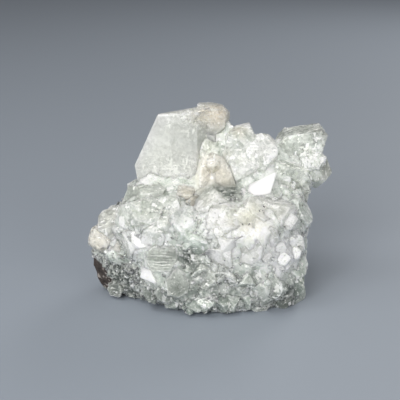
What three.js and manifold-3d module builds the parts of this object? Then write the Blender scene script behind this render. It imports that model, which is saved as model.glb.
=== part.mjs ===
// An apophyllite cluster: pale, square crystals grown on a loose piece of crusted basalt.
// Millimetres, +Z up, the broken flat underside on Z = 0, the fullest side of the cluster facing -Y.
import * as THREE from "three";
import { mergeVertices } from "three/addons/utils/BufferGeometryUtils.js";
import Module from "manifold-3d";

const wasm = await Module();
wasm.setup();

// ---- Driving dimensions ----------------------------------------------------------------------
const JOINT_GAP = 0.35; // clearance between a crystal and whatever it grew against
const PYRAMID_TILT = 60.4; // apophyllite's pyramid faces stand this many degrees from the c axis
const BLOCK = 200; // side of the block that a crystal's faces are cut from
const ROCK_CENTRE = new THREE.Vector3(-3, 1.5, 16);
const ROCK_DETAIL = 5; // subdivisions of each icosahedron edge
const ROCK_ROUNDING = 20; // a higher power gives sharper edges between the broken faces
const ROCK_ROUGHNESS = 0.5; // height of the crust's lumps

// The broken faces of the rock: compass direction (0 is +X, 90 is +Y), elevation, distance from its centre.
const ROCK_FACES = [
  { towards: -90, rise: 6, distance: 16.4 }, // front
  { towards: -124, rise: 2, distance: 20.6 }, // front left
  { towards: -55, rise: 4, distance: 23.6 }, // front right
  { towards: -92, rise: 48, distance: 18.6 }, // slope from the front up to the shelf
  { towards: -150, rise: -34, distance: 32.6 }, // bare basalt at the lower left
  { towards: 184, rise: -2, distance: 37.5 }, // left end
  { towards: 186, rise: 42, distance: 26.4 }, // left shoulder
  { towards: 0, rise: -2, distance: 29.6 }, // right end
  { towards: 2, rise: 48, distance: 30.0 }, // right shoulder
  { towards: 90, rise: 88, distance: 17.4 }, // shelf that the tall crystals stand on
  { towards: 88, rise: 12, distance: 19.5 }, // back
  { towards: 136, rise: 6, distance: 25.0 }, // back left
  { towards: 42, rise: 4, distance: 26.0 }, // back right
  { towards: 95, rise: 52, distance: 21.5 }, // slope from the shelf down to the back
  { towards: -78, rise: -40, distance: 20.0 }, // undercut below the front
  { towards: -120, rise: -30, distance: 21.0 }, // undercut below the front left
  { towards: 80, rise: -40, distance: 20.5 }, // undercut below the back
];

const GLASSY = { colour: 0xdfe6e1, roughness: 0.12 };
const MILKY = { colour: 0xeeefe9, roughness: 0.3 };
const FROSTED = { colour: 0xd9dad3, roughness: 0.5 };
const PEACH = { colour: 0xe9dbcb, roughness: 0.35 };
const GREENISH = { colour: 0xccd9d1, roughness: 0.2 };

// Each entry is one piece: a crystal, or the crystals that grew through each other. A tall crystal gives its
// middle (at) and the direction its c axis points; a crust crystal gives the compass direction and elevation
// where it sits on the rock (on), stands square to the rock there, and may lean from that. turn is the twist
// about the c axis, half the half widths across the square prism, corner how much of the top's edges each
// pyramid face takes, top and root how far it runs along the axis. cuts are broken or stunted faces: compass
// direction, elevation, distance from the middle.
const PIECES = [
  {
    name: "large_left_crystal",
    finish: MILKY,
    crystals: [
      {
        at: [-9.4, 7.6, 46],
        points: [0.42, 0.04, 0.9],
        turn: -4,
        half: [10.6, 5.6],
        corner: 0,
        top: 30,
        root: 14,
        cuts: [
          { towards: -150, rise: 86, distance: 12.1 },
          { towards: 117, rise: 10, distance: 1.9 },
          { towards: 180, rise: -10, distance: 14.6 },
          { towards: -46, rise: 2, distance: 7.6 },
          { towards: 0, rise: -17, distance: 10.8 },
          { towards: 0, rise: 42, distance: 17 },
        ],
      },
      {
        at: [0.2, 9.2, 54.2],
        points: [0.12, 0, 1],
        turn: -12,
        half: [4.8, 4.2],
        corner: 2.9,
        top: 4.8,
        root: 3.4,
        cuts: [{ towards: 0, rise: 48, distance: 5.6 }],
      },
      {
        at: [-1, 8.4, 46.4], points: [0.06, 0, 1], turn: -20,
        half: [4.4, 3.8], corner: 2, top: 4.4, root: 12,
      },
    ],
  },
  {
    name: "cream_crystals",
    finish: PEACH,
    crystals: [
      {
        at: [1.1, -1.5, 42.1],
        points: [0.02, -0.93, 0.36],
        turn: 10,
        half: [12, 12],
        corner: 1,
        top: 0,
        root: 6,
        cuts: [
          { towards: 130, rise: 38, distance: 4.3 },
          { towards: 65, rise: 39, distance: 3.8 },
          { towards: 34, rise: 21, distance: 3.7 },
          { towards: 22, rise: 10, distance: 4.3 },
          { towards: -85, rise: -74, distance: 6.0 },
          { towards: 166, rise: -2, distance: 4.3 },
          { towards: 155, rise: 10, distance: 4.0 },
        ],
      },
      {
        at: [0.6, -1.6, 43], points: [-0.15, -0.6, 0.8], turn: 30,
        half: [1.7, 1.5], corner: 1.3, top: 1.6, root: 3,
      },
    ],
  },
  {
    name: "middle_crystal_pair",
    finish: MILKY,
    crystals: [
      {
        at: [8.4, 5.2, 43],
        points: [0.26, -0.1, 1],
        turn: 4,
        half: [5.6, 4.4],
        corner: 2.4,
        top: 11.4,
        root: 9,
        cuts: [
          { towards: 180, rise: 42, distance: 8.1 },
          { towards: 180, rise: 77, distance: 9.8 },
          { towards: 0, rise: 24, distance: 7.6 },
          { towards: -70, rise: 34, distance: 8.2 },
        ],
      },
      {
        at: [15.2, 3.2, 45.6], points: [0.12, -0.88, 0.36], turn: 8,
        half: [4.8, 5.6], corner: 4.9, top: 3.4, root: 5,
      },
      {
        at: [9.6, 2.2, 41.4], points: [0.1, -0.55, 0.8], turn: 30,
        half: [4.6, 4.4], corner: 3.5, top: 4.2, root: 8,
      },
    ],
  },
  {
    name: "bright_tabular_crystal",
    finish: GLASSY,
    crystals: [
      {
        at: [14.2, -4.1, 36.3],
        points: [-0.24, -0.74, 0.63],
        turn: 24,
        half: [9, 9],
        corner: 1,
        top: 0,
        root: 6,
        cuts: [
          { towards: 98, rise: 9, distance: 2.0 },
          { towards: 12, rise: -28, distance: 3.3 },
          { towards: -56, rise: -63, distance: 2.4 },
          { towards: -162, rise: -42, distance: 4.7 },
        ],
      },
    ],
  },
  {
    name: "right_crystal_group",
    finish: GLASSY,
    crystals: [
      {
        at: [26, 7.8, 43],
        points: [0.22, 0.06, 1],
        turn: -14,
        half: [7, 5.2],
        corner: 2.6,
        top: 12,
        root: 12,
        cuts: [
          { towards: 180, rise: 45, distance: 7.2 },
          { towards: 180, rise: 79, distance: 8 },
          { towards: 0, rise: 45, distance: 12.4 },
        ],
      },
      {
        at: [31, 5.8, 46],
        points: [0.3, -0.1, 1],
        turn: -10,
        half: [3.4, 3.8],
        corner: 4,
        top: 9,
        root: 7,
        cuts: [
          { towards: 180, rise: 79, distance: 6.1 },
          { towards: 0, rise: 45, distance: 6.6 },
        ],
      },
      {
        at: [30.8, 2.8, 43], points: [0.3, -0.8, 0.5], turn: 20,
        half: [3.8, 3.4], corner: 3.2, top: 3, root: 6,
      },
      {
        at: [33, 4.6, 39.8], points: [0.75, -0.5, 0.3], turn: 24,
        half: [4.6, 4.2], corner: 4.3, top: 2.8, root: 7,
      },
      {
        at: [24.6, 4, 37], points: [0.16, -0.25, 1], turn: 6,
        half: [5.8, 4.6], corner: 3.2, top: 6, root: 9,
      },
    ],
  },
  {
    name: "ridge_crystals",
    finish: PEACH,
    crystals: [
      {
        at: [-8, -3.4, 32], points: [0.1, -0.3, 1], turn: 40,
        half: [3.9, 3.4], corner: 4, top: 3.9, root: 6,
      },
      {
        at: [-5, -6.6, 31], points: [0.3, -0.6, 0.8], turn: 20,
        half: [3.3, 3], corner: 3.1, top: 2.8, root: 6,
      },
    ],
  },
  {
    name: "left_shoulder_crystals",
    finish: GLASSY,
    crystals: [
      {
        at: [-24.1, -4.8, 32.9],
        points: [-0.43, -0.85, 0.3],
        turn: 12,
        half: [8, 8],
        corner: 1,
        top: 0,
        root: 8,
        cuts: [
          { towards: 139, rise: 11, distance: 2.8 },
          { towards: 66, rise: 47, distance: 3.8 },
          { towards: 14, rise: 17, distance: 2.8 },
          { towards: -10, rise: -16, distance: 3.0 },
          { towards: -69, rise: -79, distance: 3.7 },
          { towards: 154, rise: -37, distance: 3.8 },
        ],
      },
      { on: [-163, 47], lean: [0, -0.2, 0.3], turn: -20, half: [4.6, 4], corner: 3.6, top: 3.2, root: 7 },
    ],
  },
  {
    name: "left_outer_crystal",
    finish: FROSTED,
    crystals: [
      {
        at: [-30, -2.6, 24.4], points: [-0.42, -0.5, 0.75], turn: 40,
        half: [4.8, 4.2], corner: 3.7, top: 3.2, root: 8,
      },
    ],
  },
  {
    name: "peach_knob",
    finish: PEACH,
    crystals: [
      { on: [-172, 8], lean: [-0.1, -0.9, 0.1], turn: 4, half: [4.4, 3.4], corner: 3.7, top: 3.4, root: 7 },
      { on: [-164, 2], lean: [0, -0.5, 0.2], turn: 50, half: [3, 2.8], corner: 2.8, top: 2.2, root: 6 },
    ],
  },
  {
    name: "left_end_crystal",
    finish: GLASSY,
    crystals: [
      { on: [180, 8], turn: 30, half: [4, 3.6], corner: 3.1, top: 1.6, root: 6 },
    ],
  },
  {
    name: "left_front_crystals",
    finish: MILKY,
    crystals: [
      { on: [-153, 31], lean: [-0.2, -0.3, -0.2], turn: -9, half: [4.4, 3.8], corner: 2.3, top: 3.4, root: 8 },
      { on: [-144, 34], lean: [0.1, 0.1, 0.4], turn: -17, half: [4.6, 4.7], corner: 2.9, top: 3.6, root: 8 },
      { on: [-132, 44], lean: [-0.3, -0.1, -0.2], turn: 10, half: [4.7, 3.6], corner: 2.5, top: 3.1, root: 8 },
      { on: [-126, 34], lean: [-0.1, 0.2, 0.2], turn: 54, half: [3.8, 3.1], corner: 2.9, top: 3.8, root: 8 },
      { on: [-152, 12], lean: [-0.5, 0.3, -0.3], turn: -7, half: [3.9, 3.8], corner: 2.2, top: 2.8, root: 8 },
      { on: [-144, 18], lean: [0.5, -0.5, 0.6], turn: 6, half: [3.5, 3.4], corner: 2.2, top: 3.5, root: 8 },
      { on: [-133, 24], lean: [0.1, -0.1, -0.5], turn: 18, half: [3.8, 3.8], corner: 3.3, top: 3.2, root: 8 },
      { on: [-162, 15], lean: [-0.1, 0.1, -0.5], turn: 11, half: [3.5, 3.1], corner: 2.2, top: 2.4, root: 7 },
    ],
  },
  {
    name: "front_centre_crystals",
    finish: GREENISH,
    crystals: [
      { on: [-112, 38], lean: [0.6, -0.2, 0.4], turn: 59, half: [4.5, 3.8], corner: 2.2, top: 3.7, root: 8 },
      { on: [-102, 34], lean: [0.9, -0.4, -0.2], turn: 12, half: [4.1, 3.6], corner: 2.3, top: 3.5, root: 8 },
      { on: [-92, 23], lean: [-0.3, -0.2, -0.7], turn: 60, half: [4.1, 3.8], corner: 2.1, top: 3.1, root: 8 },
      { on: [-104, 23], lean: [-0.7, 0.2, 0.2], turn: 14, half: [2.7, 2.7], corner: 2, top: 2.7, root: 7 },
    ],
  },
  {
    name: "front_right_mass",
    finish: MILKY,
    crystals: [
      { on: [-66, 36], lean: [0.2, 0.3, 0.4], turn: -20, half: [5, 5], corner: 3.7, top: 4.6, root: 9 },
      { on: [-52, 36], lean: [-0.1, -0.5, -0.3], turn: -7, half: [5.3, 4.1], corner: 2.6, top: 4.5, root: 9 },
      { on: [-60, 24], lean: [0.6, 0, -0.6], turn: 43, half: [5.6, 4.2], corner: 2.9, top: 4.7, root: 9 },
      { on: [-70, 12], lean: [-0.5, -0.3, -0.6], turn: -20, half: [4.6, 4.3], corner: 2.8, top: 4.3, root: 9 },
      { on: [-78, 24], lean: [0.3, 0.1, -0.1], turn: -3, half: [3.7, 3], corner: 2.4, top: 3.4, root: 8 },
      { on: [-76, 56], lean: [-0.5, 0.2, 0.3], turn: 38, half: [4.3, 3.4], corner: 2.5, top: 3.2, root: 9 },
      { on: [-38, 34], lean: [0.4, 0.4, 0], turn: -9, half: [4.6, 4.3], corner: 2.7, top: 3.8, root: 9 },
      { on: [-25, 27], lean: [0.5, 0, -0.4], turn: 46, half: [4, 4.1], corner: 3, top: 3.6, root: 9 },
      { on: [-37, 21], lean: [-0.2, -0.6, -0.3], turn: 63, half: [3.5, 3.4], corner: 2.7, top: 4, root: 8 },
      { on: [-48, 14], lean: [-0.3, -0.4, -0.1], turn: 25, half: [4.4, 4.1], corner: 2.8, top: 4, root: 8 },
      { at: [16.1, -16.6, 19.1], points: [0, -0.95, 0.3], turn: 10, half: [1.8, 1.7], corner: 1.6, top: 1.4, root: 5 },
      { at: [22.6, -11.6, 28.6], points: [0.3, -0.85, 0.4], turn: 20, half: [3, 2.8], corner: 2.7, top: 1.4, root: 5 },
      { at: [2.3, -17.8, 27.5], points: [0, -0.9, 0.4], turn: 30, half: [1.8, 1.7], corner: 1.6, top: 1.4, root: 5 },
    ],
  },
  {
    name: "right_round_crystals",
    finish: GLASSY,
    crystals: [
      { on: [-33, 10], lean: [-0.1, -0.3, -0.4], turn: 50, half: [3.5, 3], corner: 2.7, top: 3.4, root: 7 },
      { at: [21.4, -13.9, 17.3], points: [0.25, -0.92, 0.28], turn: 14, half: [2.2, 2], corner: 1.9, top: 1.4, root: 6 },
      { at: [25.2, -10.6, 17.8], points: [0.35, -0.88, 0.3], turn: 36, half: [2, 1.8], corner: 1.7, top: 1.4, root: 6 },
      { on: [-18, 9], lean: [-0.1, -0.5, -0.2], turn: -4, half: [4, 3.2], corner: 3.5, top: 3.4, root: 8 },
      { on: [-27, -2], lean: [0.1, 0.2, 0.3], turn: 21, half: [3.4, 2.9], corner: 3.5, top: 3.2, root: 8 },
    ],
  },
  {
    name: "right_edge_crystals",
    finish: GREENISH,
    crystals: [
      { on: [-8, 21], lean: [0.1, -0.3, 0.4], turn: 22, half: [4.4, 4], corner: 2.8, top: 3.2, root: 8 },
      { on: [0, 16], lean: [0, 0.3, -0.1], turn: 50, half: [4.2, 4], corner: 2.8, top: 2.8, root: 8 },
      { on: [-8, 4], lean: [0, -0.4, 0.2], turn: 44, half: [3.8, 3.6], corner: 2.6, top: 2.2, root: 8 },
    ],
  },
  {
    name: "right_column_crystals",
    finish: GREENISH,
    crystals: [
      { on: [-15, -8], lean: [0, -0.5, 0.8], turn: -4, half: [3.7, 4.3], corner: 2.4, top: 2.7, root: 8 },
      { on: [-14, -18], lean: [0.2, 0.4, -0.1], turn: 19, half: [3.5, 4.5], corner: 2.5, top: 2.4, root: 8 },
      { on: [-13, -26], lean: [0.2, -0.4, 0.6], turn: 11, half: [3.8, 4.2], corner: 2.6, top: 2.4, root: 8 },
    ],
  },
  {
    name: "lower_right_crystals",
    finish: MILKY,
    crystals: [
      { on: [-34, -14], lean: [0.7, 0.5, 0.8], turn: -9, half: [4.5, 3.4], corner: 2.1, top: 3.4, root: 8 },
      { on: [-41, -18], lean: [-0.6, -0.4, -0.3], turn: 46, half: [3.8, 3.1], corner: 2.5, top: 3.1, root: 8 },
      { on: [-52, -13], lean: [0, 0.3, -0.7], turn: 44, half: [3.6, 3.2], corner: 2.4, top: 2.9, root: 8 },
    ],
  },
  {
    name: "striated_crystal",
    finish: GLASSY,
    crystals: [
      {
        at: [-15.1, -17.5, 18.8],
        points: [-0.12, -0.95, 0.3],
        turn: 8,
        half: [9, 9],
        corner: 1,
        top: 0,
        root: 7,
        cuts: [
          { towards: 119, rise: 31, distance: 3.4 },
          { towards: 80, rise: 27, distance: 2.7 },
          { towards: 20, rise: 3, distance: 4.4 },
          { towards: -5, rise: -28, distance: 4.3 },
          { towards: -51, rise: -86, distance: 3.9 },
          { towards: 173, rise: -35, distance: 4.3 },
          { towards: 156, rise: 3, distance: 4.0 },
        ],
      },
    ],
  },
  {
    name: "white_chip_crystal",
    finish: MILKY,
    crystals: [
      {
        at: [-19.2, -15.9, 13.1],
        points: [-0.42, -0.72, 0.55],
        turn: 20,
        half: [6, 6],
        corner: 1,
        top: 0,
        root: 5,
        cuts: [
          { towards: 38, rise: 34, distance: 1.3 },
          { towards: 9, rise: 24, distance: 1.2 },
          { towards: -136, rise: -61, distance: 1.6 },
          { towards: 138, rise: -10, distance: 2.0 },
        ],
      },
    ],
  },
  {
    name: "lower_left_crystals",
    finish: GREENISH,
    crystals: [
      {
        at: [-9.9, -19.2, 11.2],
        points: [0.04, -0.96, 0.26],
        turn: 16,
        half: [9, 9],
        corner: 1,
        top: 0,
        root: 8,
        cuts: [
          { towards: 55, rise: 33, distance: 3.3 },
          { towards: 36, rise: 19, distance: 2.8 },
          { towards: 14, rise: -18, distance: 3.1 },
          { towards: -6, rise: -64, distance: 3.5 },
          { towards: -160, rise: -74, distance: 3.8 },
          { towards: 175, rise: -13, distance: 3.6 },
          { towards: 144, rise: 26, distance: 3.3 },
        ],
      },
      { on: [-124, -24], lean: [0.5, -0.5, 0.1], turn: -15, half: [3.3, 2.9], corner: 2.2, top: 2.9, root: 7 },
      { on: [-138, -28], lean: [-0.5, -0.1, 0.8], turn: 61, half: [3.6, 2.9], corner: 2.8, top: 2.5, root: 7 },
    ],
  },
  {
    name: "lower_centre_crystals",
    finish: GLASSY,
    crystals: [
      { on: [-92, -8], lean: [0.2, 0.1, -0.4], turn: 59, half: [4.1, 2.8], corner: 2.7, top: 3.1, root: 7 },
      { on: [-82, -14], lean: [-0.6, -0.2, 0.4], turn: -18, half: [3.2, 3.4], corner: 2.6, top: 3.3, root: 7 },
      { on: [-72, -8], lean: [0, 0.2, -0.5], turn: 16, half: [3.1, 2.9], corner: 2.2, top: 2.9, root: 7 },
      { on: [-62, -10], lean: [0.8, 0.2, 0.5], turn: -12, half: [4, 3.1], corner: 2.4, top: 3.1, root: 7 },
    ],
  },
  {
    name: "front_foot_crystals",
    finish: GREENISH,
    crystals: [
      { on: [-84, -35], lean: [0.5, 0.3, -0.3], turn: 6, half: [4.3, 3], corner: 2.4, top: 3.3, root: 6 },
      { on: [-96, -33], lean: [0, -0.6, 0.7], turn: 17, half: [3.2, 3.8], corner: 2.8, top: 2.9, root: 6 },
      { on: [-108, -34], lean: [-0.3, 0.2, -0.1], turn: 61, half: [3.6, 2.9], corner: 2.4, top: 2.3, root: 6 },
      { on: [-119, -34], lean: [-0.3, -0.5, 0.6], turn: 33, half: [3.2, 2.8], corner: 2.7, top: 2.1, root: 6 },
    ],
  },
  {
    name: "right_foot_crystals",
    finish: GREENISH,
    crystals: [
      { on: [-35, -33], lean: [0.6, 0.8, 0], turn: -15, half: [3.7, 3.4], corner: 2.2, top: 3.8, root: 6 },
      { on: [-47, -31], lean: [-0.8, -0.6, 0], turn: 51, half: [3.5, 3.3], corner: 2.4, top: 3.5, root: 6 },
      { on: [-59, -34], lean: [0.9, 0.2, 0.2], turn: 64, half: [4.1, 3.1], corner: 2.5, top: 3.3, root: 6 },
      { on: [-71, -33], lean: [-0.8, -0.1, -0.2], turn: 8, half: [3.5, 3.7], corner: 2.1, top: 3.3, root: 6 },
      { on: [-23, -27], lean: [0.2, -0.8, 0.9], turn: 29, half: [3.5, 3.4], corner: 3, top: 3.1, root: 6 },
    ],
  },
  {
    name: "left_foot_crystal",
    finish: FROSTED,
    crystals: [
      { on: [-170, -25], lean: [0, -0.3, 0.3], turn: 20, half: [2.6, 2.4], corner: 1.9, top: 2.6, root: 6 },
    ],
  },
  {
    name: "right_side_crystals",
    finish: MILKY,
    crystals: [
      { on: [8, 8], lean: [0, 0.2, -0.5], turn: 59, half: [6, 4.4], corner: 3.7, top: 2.8, root: 8 },
      { on: [6, -10], lean: [-0.1, 0.3, -0.3], turn: -2, half: [4.8, 3.6], corner: 3.1, top: 2.6, root: 7 },
    ],
  },
  {
    name: "left_side_crystals",
    finish: MILKY,
    crystals: [
      { on: [166, 12], turn: 15, half: [5, 4.6], corner: 3.6, top: 2.2, root: 8 },
      { on: [166, -5], turn: 30, half: [4.6, 4.2], corner: 3.2, top: 2.6, root: 8 },
    ],
  },
  {
    name: "back_large_crystals",
    finish: MILKY,
    crystals: [
      {
        at: [-15, 15.4, 33.6], points: [-0.12, 0.45, 0.9], turn: 12,
        half: [6.8, 5.8], corner: 4.4, top: 6.2, root: 9,
      },
      {
        at: [-20.6, 12.6, 29.6], points: [-0.4, 0.5, 0.85], turn: 30,
        half: [5, 4.6], corner: 4.1, top: 4.6, root: 8,
      },
    ],
  },
  {
    name: "back_middle_crystals",
    finish: GLASSY,
    crystals: [
      {
        at: [1.4, 15.4, 33.6], points: [0.05, 0.5, 0.9], turn: 36,
        half: [5.4, 5], corner: 4.1, top: 5.2, root: 9,
      },
      {
        at: [8.6, 14.6, 31], points: [0.2, 0.6, 0.8], turn: 8,
        half: [4.8, 4.6], corner: 3.6, top: 3.8, root: 8,
      },
      {
        at: [-5.4, 17, 29], points: [-0.1, 0.8, 0.6], turn: 50,
        half: [4.4, 4], corner: 3.7, top: 3.4, root: 8,
      },
    ],
  },
  {
    name: "back_right_crystals",
    finish: MILKY,
    crystals: [
      {
        at: [18, 13.6, 28.6], points: [0.4, 0.6, 0.7], turn: 18,
        half: [6.2, 5.6], corner: 4.1, top: 4, root: 9,
      },
      { on: [30, 8], turn: 44, half: [5.4, 5], corner: 4.2, top: 3.2, root: 8 },
    ],
  },
  {
    name: "back_centre_crystals",
    finish: GREENISH,
    crystals: [
      { on: [95, 16], lean: [-0.5, 0.1, -0.5], turn: -1, half: [6.9, 5.3], corner: 4.9, top: 3.3, root: 8 },
      { on: [118, 0], lean: [0.6, 0.3, -0.1], turn: -15, half: [5.8, 4.6], corner: 4.1, top: 3.1, root: 8 },
      { on: [68, 12], lean: [0.5, -0.2, 0], turn: 1, half: [5.1, 4.6], corner: 3, top: 3, root: 8 },
    ],
  },
  {
    name: "back_left_crystals",
    finish: FROSTED,
    crystals: [
      { on: [144, 14], lean: [0.2, 0.1, 0.4], turn: 61, half: [5.7, 4.8], corner: 4.1, top: 3.2, root: 8 },
      { on: [146, -6], lean: [0.1, 0.3, 0.5], turn: 28, half: [4.4, 4.1], corner: 3.1, top: 3.1, root: 8 },
    ],
  },
  {
    name: "back_low_right_crystals",
    finish: GLASSY,
    crystals: [
      { on: [48, -6], lean: [-0.2, 0.3, 0.6], turn: 7, half: [6.2, 4.3], corner: 3, top: 3.3, root: 8 },
      { on: [72, -14], lean: [-0.4, 0.1, 0], turn: -7, half: [5.3, 3.9], corner: 3.8, top: 2.8, root: 8 },
    ],
  },
  {
    name: "back_foot_crystals",
    finish: FROSTED,
    crystals: [
      { on: [100, -32], lean: [-0.5, 0.3, 0.7], turn: -6, half: [5, 4.4], corner: 4.1, top: 3.1, root: 6 },
      { on: [124, -28], lean: [0, 0.3, 0.5], turn: 59, half: [4.3, 4.4], corner: 3.7, top: 3, root: 6 },
    ],
  },
];

// ---- Shapes ----------------------------------------------------------------------------------
const UP = new THREE.Vector3(0, 0, 1);
const radians = THREE.MathUtils.degToRad;

// The direction of a compass bearing and an elevation, in degrees.
function bearing(towards, rise) {
  const flat = Math.cos(radians(rise));
  return new THREE.Vector3(
    flat * Math.cos(radians(towards)),
    flat * Math.sin(radians(towards)),
    Math.sin(radians(rise)),
  );
}

// A closed geometry as a solid.
function solidOf(geometry) {
  const plain = new THREE.BufferGeometry();
  const open = geometry.index ? geometry.toNonIndexed() : geometry;
  plain.setAttribute("position", open.getAttribute("position"));
  const merged = mergeVertices(plain, 1e-4);
  const vertProperties = new Float32Array(merged.attributes.position.array);
  const triVerts = new Uint32Array(merged.index.array);
  return new wasm.Manifold(new wasm.Mesh({ numProp: 3, vertProperties, triVerts }));
}

// The solid's side of a plane whose outward normal points away from it.
const cutFace = (solid, normal, distance) => solid.trimByPlane(normal.clone().negate().toArray(), -distance);

// How far the rock's surface is from its centre along a direction, and the way it faces there. The distance
// is a power mean of those to the broken faces, which rounds their edges, plus the crust's lumps.
function rockSurface(direction) {
  const facing = new THREE.Vector3();
  let sum = 0;
  for (const { towards, rise, distance } of ROCK_FACES) {
    const outward = bearing(towards, rise);
    const share = Math.max(0, outward.dot(direction) / distance);
    sum += share ** ROCK_ROUNDING;
    facing.addScaledVector(outward, share ** (ROCK_ROUNDING - 1) / distance);
  }
  const lumps = Math.sin(9 * direction.x + 4 * direction.z) * Math.sin(11 * direction.y - 5 * direction.x);
  return { reach: sum ** (-1 / ROCK_ROUNDING) + ROCK_ROUGHNESS * lumps, facing: facing.normalize() };
}

// The rock, with its surface moved outwards by grow, before its underside is cut.
function rockSolid(grow = 0) {
  const ball = new THREE.IcosahedronGeometry(1, ROCK_DETAIL);
  const place = ball.getAttribute("position");
  for (let i = 0; i < place.count; i += 1) {
    const direction = new THREE.Vector3().fromBufferAttribute(place, i).normalize();
    const point = ROCK_CENTRE.clone().addScaledVector(direction, rockSurface(direction).reach + grow);
    place.setXYZ(i, ...point);
  }
  return solidOf(ball);
}

// Where a crystal's middle is and which way its c axis points.
function seatOf({ at, points, on, lean = [0, 0, 0] }) {
  if (at) {
    return { middle: new THREE.Vector3(...at), axis: new THREE.Vector3(...points).normalize() };
  }
  const direction = bearing(...on);
  const { reach, facing } = rockSurface(direction);
  const middle = ROCK_CENTRE.clone().addScaledVector(direction, reach);
  return { middle, axis: facing.add(new THREE.Vector3(...lean)).normalize() };
}

// A tetragonal crystal: a square prism whose four corners are cut by steep pyramid faces at both ends, closed
// above and below by flat basal faces. grow moves every face outwards.
function crystalSolid(crystal, grow = 0) {
  const { turn, half, corner, top, root, cuts = [] } = crystal;
  const { middle, axis } = seatOf(crystal);
  const stand = new THREE.Quaternion().setFromUnitVectors(UP, axis);
  stand.multiply(new THREE.Quaternion().setFromAxisAngle(UP, radians(turn)));
  const planes = [
    [[1, 0, 0], half[0]],
    [[-1, 0, 0], half[0]],
    [[0, 1, 0], half[1]],
    [[0, -1, 0], half[1]],
    [[0, 0, 1], top],
    [[0, 0, -1], root],
  ];
  const across = Math.sin(radians(PYRAMID_TILT)) * Math.SQRT1_2;
  const along = Math.cos(radians(PYRAMID_TILT));
  const edge = (half[0] + half[1] - corner) * across;
  for (const [sx, sy] of [[1, 1], [1, -1], [-1, 1], [-1, -1]]) {
    planes.push([[sx * across, sy * across, along], edge + top * along]);
    planes.push([[sx * across, sy * across, -along], edge + root * along]);
  }
  const faces = planes.map(([way, far]) => [new THREE.Vector3(...way).applyQuaternion(stand), far]);
  for (const { towards, rise, distance } of cuts) {
    faces.push([bearing(towards, rise), distance]);
  }
  let solid = solidOf(new THREE.BoxGeometry(BLOCK, BLOCK, BLOCK));
  for (const [outward, distance] of faces) {
    solid = cutFace(solid, outward, outward.dot(middle) + distance + grow);
  }
  return solid;
}

const aboveTable = (solid) => solid.trimByPlane([0, 0, 1], 0);

// The largest of the bodies that a cut leaves.
function largest(solid) {
  return solid.decompose().reduce((best, body) => (body.volume() > best.volume() ? body : best));
}

function geometryOf(solid) {
  const { vertProperties, triVerts } = solid.getMesh();
  const geometry = new THREE.BufferGeometry();
  geometry.setAttribute("position", new THREE.BufferAttribute(new Float32Array(vertProperties), 3));
  geometry.setIndex(new THREE.BufferAttribute(new Uint32Array(triVerts), 1));
  const faceted = geometry.toNonIndexed();
  faceted.computeVertexNormals();
  return faceted;
}

function meshOf(name, solid, { colour, roughness }) {
  const material = new THREE.MeshStandardMaterial({ color: colour, roughness, metalness: 0 });
  const mesh = new THREE.Mesh(geometryOf(solid), material);
  mesh.name = name;
  return mesh;
}

// ---- The cluster -----------------------------------------------------------------------------
const cluster = new THREE.Group();
cluster.add(meshOf("matrix", aboveTable(rockSolid()), { colour: 0x8b8883, roughness: 0.8 }));

let taken = rockSolid(JOINT_GAP);
for (const { name, finish, crystals } of PIECES) {
  const grown = wasm.Manifold.union(crystals.map((crystal) => crystalSolid(crystal)));
  const room = wasm.Manifold.union(crystals.map((crystal) => crystalSolid(crystal, JOINT_GAP)));
  cluster.add(meshOf(name, largest(aboveTable(grown.subtract(taken))), finish));
  taken = taken.add(room);
}

// The origin is on the table, under the middle of the whole cluster.
const extent = new THREE.Box3().setFromObject(cluster);
const centre = extent.getCenter(new THREE.Vector3());
cluster.position.set(-centre.x, -centre.y, -extent.min.z);

const part = new THREE.Group();
part.add(cluster);
export default part;
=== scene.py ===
import itertools
import math

import bpy
import numpy as np
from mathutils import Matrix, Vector
from mathutils.bvhtree import BVHTree


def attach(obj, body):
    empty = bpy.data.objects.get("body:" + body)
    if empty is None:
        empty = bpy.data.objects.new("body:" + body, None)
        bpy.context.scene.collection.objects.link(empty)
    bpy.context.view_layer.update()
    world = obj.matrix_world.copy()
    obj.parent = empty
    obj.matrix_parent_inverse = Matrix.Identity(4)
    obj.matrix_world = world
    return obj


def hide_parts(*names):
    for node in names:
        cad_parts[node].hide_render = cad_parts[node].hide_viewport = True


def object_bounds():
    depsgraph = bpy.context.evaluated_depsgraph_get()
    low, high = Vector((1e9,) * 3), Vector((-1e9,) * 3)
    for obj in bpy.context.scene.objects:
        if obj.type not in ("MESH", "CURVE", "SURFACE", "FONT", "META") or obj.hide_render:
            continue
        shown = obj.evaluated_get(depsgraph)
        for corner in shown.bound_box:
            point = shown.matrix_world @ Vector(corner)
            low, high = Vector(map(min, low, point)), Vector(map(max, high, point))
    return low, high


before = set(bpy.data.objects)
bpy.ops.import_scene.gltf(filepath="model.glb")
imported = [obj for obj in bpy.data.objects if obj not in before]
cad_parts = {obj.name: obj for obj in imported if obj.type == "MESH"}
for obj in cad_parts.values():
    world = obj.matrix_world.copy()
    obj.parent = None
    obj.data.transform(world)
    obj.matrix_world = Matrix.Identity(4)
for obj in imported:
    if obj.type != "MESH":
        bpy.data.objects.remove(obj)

cad_box = [list(corner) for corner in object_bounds()]

# ---- The view ----
# The specimen rests on its broken underside, with its fullest side to the front. It is seen from a
# little above the table, through a long lens a foot away.
MM = 0.001
scene = bpy.context.scene
AIM = Vector((-3.3, -2.89, 31.3)) * MM
RISE = math.radians(18)
DISTANCE = 310 * MM

lens = bpy.data.cameras.new("camera")
lens.lens = 90
lens.sensor_width = 36
lens.clip_start = 0.01
lens.clip_end = 20
camera = bpy.data.objects.new("camera", lens)
camera.location = AIM + DISTANCE * Vector((0, -math.cos(RISE), math.sin(RISE)))
camera.rotation_euler = (AIM - camera.location).to_track_quat("-Z", "Y").to_euler()
scene.collection.objects.link(camera)
scene.camera = camera
scene.view_settings.view_transform = "Standard"


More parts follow.
